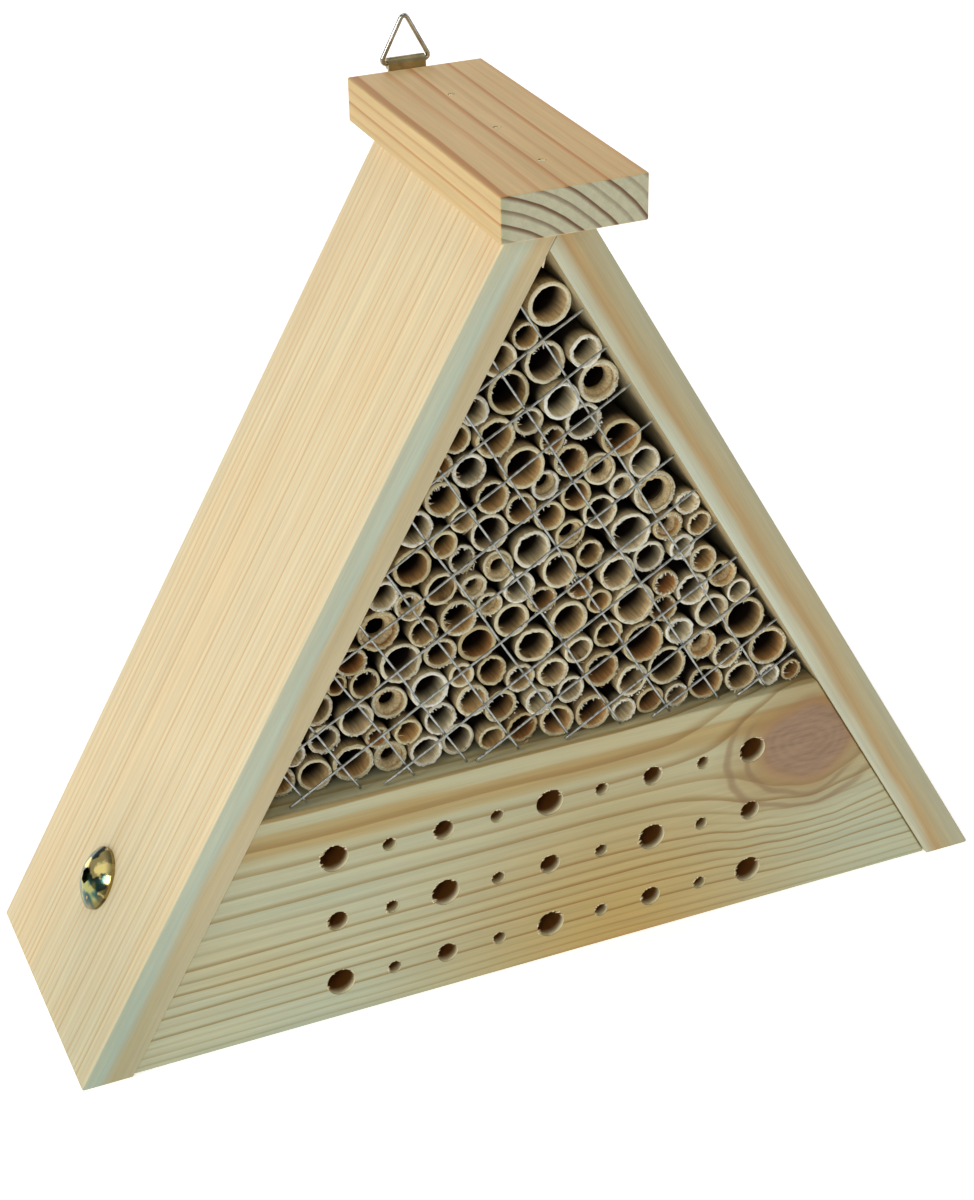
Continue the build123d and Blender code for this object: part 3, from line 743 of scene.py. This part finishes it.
def add_fibre(builder, chance, x, z, radius, front):
    """A torn fibre that hangs from the rim into the bore or curls outward."""
    angle = chance.uniform(math.radians(170), math.radians(400))
    inward = chance.uniform(0.25, 1.0) if chance.random() < 0.75 else -chance.uniform(0.1, 0.35)
    length = chance.uniform(0.8, 2.6) * MM
    width = chance.uniform(0.07, 0.17) * MM
    lean = chance.uniform(-0.7, 0.7)
    points = []
    for step in range(4):
        t = step / 3
        r = radius - inward * length * t
        a = angle + lean * length * t / radius
        y = front - chance.uniform(0.0, 0.18) * MM - 0.25 * MM * math.sin(t * 2.4)
        points.append(Vector((x + r * math.cos(a), y, z + r * math.sin(a) - 0.2 * length * t * t)))
    radii = [width, width * 0.9, width * 0.6, width * 0.15]
    tube_along(builder, points, radii, 4, PITH, 0.8)


def add_fringe(builder, chance, x, z, radius, front, count):
    """A torn, whitish edge: many very short fibres that stand off the rim."""
    for _ in range(count):
        angle = chance.uniform(0, math.tau)
        start_at = radius + chance.uniform(-0.25, 0.1) * MM
        reach = chance.uniform(-0.7, 0.4) * MM
        forward = chance.uniform(0.1, 0.5) * MM
        width = chance.uniform(0.09, 0.24) * MM
        turn = chance.uniform(-0.12, 0.12)
        points = []
        for step in range(3):
            t = step / 2
            r = start_at + reach * t
            a = angle + turn * t
            points.append(Vector((x + r * math.cos(a), front - forward * t, z + r * math.sin(a))))
        tube_along(builder, points, [width, width * 0.8, width * 0.3], 4, RIM, 1.0)


def add_reed(builder, chance, shape):
    """One reed: slightly oval, sawn a little askew, with a rough rim."""
    x, z, outer, inner, front, back = shape
    tint = chance.random() ** 0.8
    phases = [chance.uniform(0, math.tau) for _ in range(4)]
    sizes = [chance.uniform(0.2, 0.5), chance.uniform(0.1, 0.25), 0.12, 0.1]
    bore_phases = [chance.uniform(0, math.tau) for _ in range(4)]
    squash = chance.uniform(0.0, 0.035)
    tilt = chance.uniform(0.0, 0.7) * MM
    tilt_at = chance.uniform(0, math.tau)
    ragged = chance.choice((0.13, 0.2, 0.36)) * MM
    teeth = [chance.uniform(-ragged, ragged) for _ in range(REED_SIDES)]
    wall = outer - inner

    def outer_radius(angle, shrink=0.0):
        return outer * (0.978 - squash + 0.018 * wave(angle, phases, sizes)) - shrink

    def inner_radius(angle, grow=0.0):
        return inner * (0.985 + 0.03 * wave(angle, bore_phases, sizes)) + grow

    def face(angle):
        step = int(round(angle / math.tau * REED_SIDES)) % REED_SIDES
        return front + tilt * (1 + math.cos(angle - tilt_at)) + teeth[step] + 0.16 * MM

    rows = [builder.loop(reed_ring(x, z, lambda a: back, outer_radius), tint)]
    for share in (0.6, 0.25, 0.05):
        y = front + (back - front) * share
        rows.append(builder.loop(reed_ring(x, z, lambda a: y, outer_radius), tint))
    rows.append(builder.loop(reed_ring(x, z, lambda a: face(a) + 0.22 * MM, outer_radius), tint))
    for first, second in zip(rows, rows[1:]):
        builder.bridge(first, second, SKIN)
    rim = [rows[-1]]
    rim.append(builder.loop(reed_ring(x, z, face, lambda a: outer_radius(a, 0.12 * MM)), tint))
    rim.append(builder.loop(reed_ring(x, z, lambda a: face(a) - 0.08 * MM,
                                      lambda a: outer_radius(a, wall * 0.5)), tint))
    rim.append(builder.loop(reed_ring(x, z, face, lambda a: inner_radius(a, 0.1 * MM)), tint))
    rim.append(builder.loop(reed_ring(x, z, lambda a: face(a) + 0.25 * MM, inner_radius), tint))
    for first, second in zip(rim, rim[1:]):
        builder.bridge(first, second, RIM)
    bore = [rim[-1]]
    for depth in BORE_DEPTHS:
        y = front + depth * MM
        bore.append(builder.loop(reed_ring(x, z, lambda a: y, inner_radius), tint))
    bore.append(builder.loop(reed_ring(x, z, lambda a: back, inner_radius), tint))
    for first, second in zip(bore, bore[1:]):
        builder.bridge(first, second, BORE)
    builder.bridge(bore[-1], rows[0], RIM)
    add_torn_end(builder, chance, shape)


def add_torn_end(builder, chance, shape):
    """What the saw left on a reed: perhaps pith in the bore, loose fibres and a torn edge."""
    x, z, outer, inner, front, _ = shape
    if chance.random() < PITH_CHANCE:
        add_pith(builder, chance, x, z, inner, front + chance.uniform(0.4, 2.2) * MM)
    if chance.random() < FIBRES_CHANCE:
        for _ in range(chance.choice((3, 5, 8, 14, 20))):
            add_fibre(builder, chance, x, z, inner + (outer - inner) * 0.3, front + 0.3 * MM)
    if chance.random() < FRINGE_CHANCE:
        middle = (inner + outer) / 2
        add_fringe(builder, chance, x, z, middle, front + 0.25 * MM, chance.choice((20, 40, 75)))


def add_pith(builder, chance, x, z, inner, y):
    """A crumbly plug of pith across the bore, with an opening of varying size through its middle.
    """
    hole = chance.uniform(0.15, 0.5)
    rings = []
    for share in (0.97, 0.75, 0.5):
        radius = inner * (hole + (1 - hole) * share)
        rough = [chance.uniform(-0.35, 0.35) * MM for _ in range(REED_SIDES)]
        points = reed_ring(x, z, lambda a: y, lambda a: radius)
        for point, offset in zip(points, rough):
            point.y += offset + (0.97 - share) * 1.2 * MM
        rings.append(builder.loop(points, 0.8))
    deep = reed_ring(x, z, lambda a: y + 3 * MM, lambda a: inner * (hole + (1 - hole) * 0.45))
    rings.append(builder.loop(deep, 0.2))
    back = reed_ring(x, z, lambda a: y + 3.4 * MM, lambda a: inner * 0.97)
    rings.append(builder.loop(back, 0.2))
    for first, second in zip(rings, rings[1:] + rings[:1]):
        builder.bridge(first, second, PITH)


def make_reeds():
    """Detailed reeds in place of the plain CAD tubes, one piece for each row."""
    materials = [reed_skin("reed_skin"), reed_rim("reed_rim"), reed_bore("reed_bore"),
                 reed_pith("reed_pith")]
    chance = random.Random(41)
    rows = sorted(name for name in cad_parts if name.startswith("reed_row_"))
    for row in rows:
        builder = Builder()
        for corners in cad_islands(row):
            add_reed(builder, chance, reed_shape(corners))
        piece = builder.build(row.replace("reed_row", "cut_reeds"), materials)
        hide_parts(row)


# ---------------------------------------------------------------- torn wood

HOLE_COLUMNS = 9
HOLE_ROWS = 3
HOLE_STEP_X = 15.17
HOLE_STEP_Z = 19.9
HOLE_FIRST_X = -61.0
HOLE_TOP_Z = 51.0
HOLE_RADII = (4.0, 2.0, 3.0, 2.0)
BRAD_FIBRES = 12


def torn_wood(name):
    """Pale splinters that the drill and the brads left standing."""
    shader = Shader(name, roughness=0.8, specular=0.2)
    rough = shader.noise(shader.place(), 1.5, 3.0, 0.6)
    shader.colour(shader.ramp(rough, [(0.3, linear(206, 184, 138)), (0.7, linear(250, 240, 206))]))
    shader.bump(rough, 0.4, 0.1)
    return shader.material


def add_splinter(builder, chance, x, z, radius):
    """One splinter along the grain, from the rim into the hole."""
    angle = chance.uniform(math.radians(25), math.radians(215))
    inward = -1 if math.cos(angle) > 0 else 1
    width = chance.uniform(0.14, 0.36) * MM
    length = chance.uniform(0.4, 0.45 * radius / MM) * MM
    start = Vector((x + radius * math.cos(angle), BLOCK_LOW.y + 0.1 * MM,
                    z + radius * math.sin(angle)))
    droop = chance.uniform(-0.3, 0.3)
    points = []
    for step in range(3):
        t = step / 2
        points.append(start + Vector((inward * (t - 0.3), 0.25 * t, droop * t * t)) * length)
    tube_along(builder, points, [width, width * 0.8, width * 0.15], 5, 0, 0.5)


def make_torn_edges():
    """Splinters round the upper side of every nest hole, where the drill lifted the grain."""
    chance = random.Random(19)
    builder = Builder()
    for row in range(HOLE_ROWS):
        for column in range(HOLE_COLUMNS):
            shift = 2 if row % 2 else 0
            radius = HOLE_RADII[(column + shift) % len(HOLE_RADII)] * MM
            x = (HOLE_FIRST_X + column * HOLE_STEP_X) * MM
            z = (HOLE_TOP_Z - row * HOLE_STEP_Z) * MM
            for _ in range(chance.randint(6, 8 + int(radius / MM * 2))):
                add_splinter(builder, chance, x, z, radius)
    piece = builder.build("torn_hole_edges", [torn_wood("torn_pine")])


def make_brad_marks():
    """Pale fibres that closed over the brads sunk into the ridge board."""
    chance = random.Random(7)
    builder = Builder()
    for name in sorted(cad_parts):
        if not name.startswith("ridge_nail"):
            continue
        low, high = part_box(name)
        for _ in range(BRAD_FIBRES):
            x = (low[0] + high[0]) / 2 + chance.uniform(-0.8, 0.8) * MM
            y = (low[1] + high[1]) / 2 + chance.uniform(-0.3, 0.3) * MM
            reach = chance.uniform(0.4, 0.8) * MM
            z = high[2] + chance.uniform(0.1, 0.2) * MM
            points = [Vector((x, y - reach, z)), Vector((x, y, z + 0.08 * MM)),
                      Vector((x, y + reach, z))]
            tube_along(builder, points, [0.12 * MM, 0.2 * MM, 0.12 * MM], 5, 0, 0.5)
    piece = builder.build("torn_brad_marks", [torn_wood("torn_ridge")])


# ---------------------------------------------------------------- wire mesh

MESH_STEP = 12.7
WIRE_POINT_STEP = 1.6


def wire_line(corners, direction):
    """The two ends and the radius of one straight CAD wire."""
    reach = [corner.dot(direction) for corner in corners]
    middle = sum(corners, Vector()) / len(corners)
    base = middle - direction * middle.dot(direction)
    start = base + direction * min(reach)
    end = base + direction * max(reach)
    radius = max((c - direction * c.dot(direction) - base).length for c in corners)
    return start, end, radius


def make_wires(node_name, piece_name, direction, material, seed):
    """Drawn wires with the slight waves and the uneven zinc of real welded mesh."""
    chance = random.Random(seed)
    builder = Builder()
    for corners in cad_islands(node_name):
        start, end, radius = wire_line(corners, direction)
        length = (end - start).length
        count = max(int(length / (WIRE_POINT_STEP * MM)), 3)
        phase = chance.uniform(0, math.tau)
        sway = chance.uniform(0.04, 0.16) * MM
        side = direction.cross(Vector((0, 1, 0)))
        points = []
        radii = []
        for index in range(count + 1):
            t = index / count
            along = t * length
            fade = min(1.0, 8 * t, 8 * (1 - t))
            wave_size = sway * fade * math.sin(along / (MESH_STEP * MM) * 2.1 + phase)
            points.append(start + direction * along + side * wave_size)
            radii.append(radius * (0.92 + 0.05 * math.sin(along / MM * 1.3 + phase)))
        tube_along(builder, points, radii, 10, 0, 0.5)
    piece = builder.build(piece_name, [material])
    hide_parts(node_name)


# ---------------------------------------------------------------- dressing the CAD nodes

def shades(*colours):
    """Three tints of one wood, spread over its blotches."""
    return [(place, linear(*colour)) for place, colour in zip((0.3, 0.5, 0.72), colours)]


def dress_left_board():
    bands = [(0.0, linear(200, 202, 174)), (0.4, linear(196, 206, 184)),
             (0.6, linear(206, 188, 144)), (1.0, linear(208, 194, 156))]
    board = softwood("pine_left_board", (math.cos(SLOPE), 0, math.sin(SLOPE)), (-60, 96, 60), 2.3,
                     shades((234, 212, 170), (236, 220, 180), (238, 214, 168)),
                     linear(224, 186, 132), warp=0.8, late_width=0.36, bands=(-1, bands),
                     # Painted shade: a soft cool patch darkens the board's lower left end, where
                     # the light falls off.
                     tint_patch_and_shade=((-125, -30, 8), 85, linear(226, 234, 234)))
    wear(board, "left_roof_board")


def dress_right_board():
    bands = [(0.0, linear(186, 182, 150)), (0.34, linear(190, 176, 134)),
             (0.62, linear(192, 160, 108)), (0.8, linear(204, 200, 168)),
             (1.0, linear(214, 218, 194))]
    board = softwood("pine_right_board", (-math.cos(SLOPE), 0, math.sin(SLOPE)), (95, 90, 60), 3.2,
                     shades((198, 192, 156), (204, 188, 146), (200, 178, 130)),
                     linear(182, 148, 98), warp=1.0, bands=(1, bands))
    wear(board, "right_roof_board")


def dress_ridge_board():
    board = softwood("pine_ridge_board", (0, 1, 0), (-33, 0, 178.6), 3.2,
                     shades((224, 190, 136), (230, 196, 142), (224, 188, 130)),
                     linear(206, 144, 88), warp=0.6, late_width=0.26,
                     end_ground=linear(198, 194, 162), drilled=(-50, 40),
                     heart=(((-1, 0, 0), 16.5, 40), linear(238, 242, 232)))
    wear(board, "ridge_board")


def dress_block():
    block = softwood("pine_base_block", (1, 0, 0), (0, 34, 104), 3.5,
                     shades((190, 196, 168), (196, 196, 162), (200, 190, 146)),
                     linear(160, 138, 86), warp=1.0, late_width=0.28, slowing=(92, 2.8),
                     knot=((77.7, 0, 49.0), 13.6, 3.2), drilled=(-76, 76), nest_holes=True,
                     heart=(((0, 0, 1), 56, 65), linear(243, 215, 172)),
                     tint_patch_and_shade=((20, -41, 2), 85, linear(254, 218, 160)))
    wear(block, "base_block")


def dress_metal():
    yellow_zinc = bolt_metal("yellow_zinc")
    steel = plated_metal("bright_steel", linear(140, 140, 144), linear(190, 190, 194), 0.35)
    olive = plated_metal("dull_brass", linear(150, 136, 96), linear(204, 188, 142), 0.4)
    nickel = plated_metal("nickel", linear(160, 156, 142), linear(206, 202, 188), 0.2)
    dull = plated_metal("dull_brad", linear(240, 220, 186), linear(255, 246, 222), 0.6,
                        metallic=0.0)
    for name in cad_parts:
        if name.startswith("ridge_nail"):
            wear(dull, name)
        elif name.endswith("connector_bolt"):
            wear(yellow_zinc, name)
        elif "nail" in name or "pin" in name or name.endswith("insert_nut"):
            wear(steel, name)
    wear(olive, "hanger_plate")
    wear(nickel, "hanger_ring")


# ---------------------------------------------------------------- studio

# Place in metres, angles in degrees, lens and sensor in millimetres.
CAMERA_PLACE = Vector((-0.2196, -0.5251, 0.4137))
CAMERA_ANGLES = (60.496, 1.009, -23.235)
CAMERA_LENS = 72.8
CAMERA_SENSOR = 36


def make_camera():
    data = bpy.data.cameras.new("camera")
    data.lens = CAMERA_LENS
    data.sensor_width = CAMERA_SENSOR
    data.clip_start = 0.01
    data.clip_end = 20
    camera = bpy.data.objects.new("camera", data)
    camera.location = CAMERA_PLACE
    camera.rotation_euler = [math.radians(angle) for angle in CAMERA_ANGLES]
    bpy.context.collection.objects.link(camera)
    bpy.context.scene.camera = camera


def area_light(name, place, target, size, power, colour=(1, 1, 1)):
    """A round soft light at a place, turned to a target (m, W)."""
    data = bpy.data.lights.new(name, "AREA")
    data.shape = "DISK"
    data.size = size
    data.energy = power
    data.color = colour
    light = bpy.data.objects.new(name, data)
    light.location = place
    light.rotation_euler = (Vector(target) - Vector(place)).to_track_quat("-Z", "Y").to_euler()
    bpy.context.collection.objects.link(light)


def make_studio():
    """Five soft lights round the object, and an even grey sky."""
    middle = (0, 0, 0.1)
    area_light("key", (-1.3, -0.25, 0.88), middle, 0.5, 8.8, (1.0, 0.985, 0.95))
    area_light("top", (0.0, -0.1, 1.6), middle, 0.9, 2.7)
    area_light("front", (-0.9, -1.3, 0.9), middle, 0.4, 3.8, (0.97, 1.0, 0.97))
    area_light("right", (1.4, 0.2, 0.8), middle, 0.9, 4.0)
    area_light("back", (0.1, 1.5, 0.8), middle, 1.0, 5.0)
    world = bpy.data.worlds.new("studio")
    world.use_nodes = True
    background = world.node_tree.nodes["Background"]
    background.inputs["Color"].default_value = (1, 1, 1, 1)
    background.inputs["Strength"].default_value = 0.25
    bpy.context.scene.world = world
    bpy.context.scene.view_settings.view_transform = "Standard"


def make_floor():
    """A plain pale floor that glows a little, so it stays nearly white."""
    bpy.ops.mesh.primitive_circle_add(vertices=96, radius=6, fill_type="NGON", location=(0, 0, 0))
    floor = bpy.context.active_object
    floor.name = "floor"
    paper = Shader("paper", roughness=0.9, specular=0.1)
    grain = paper.noise(paper.place(), 0.02, 2.0)
    paper.colour(paper.ramp(grain, [(0.0, (0.93, 0.93, 0.93, 1)), (1.0, (0.97, 0.97, 0.97, 1))]))
    paper.principled.inputs["Emission Color"].default_value = (1, 1, 1, 1)
    paper.principled.inputs["Emission Strength"].default_value = 0.52
    floor.data.materials.append(paper.material)


make_camera()
make_studio()
make_floor()
dress_left_board()
dress_right_board()
dress_ridge_board()
dress_block()
wear(plywood("plywood"), "back_panel")
dress_metal()
make_reeds()
make_torn_edges()
make_brad_marks()
galvanised = zinc_wire("galvanised")
rising = Vector((math.sin(SLOPE), 0, math.cos(SLOPE)))
falling = Vector((math.cos(SLOPE), 0, -math.sin(SLOPE)))
make_wires("mesh_rising_wires", "welded_wires_front", rising, galvanised, 5)
make_wires("mesh_falling_wires", "welded_wires_behind", falling, galvanised, 6)
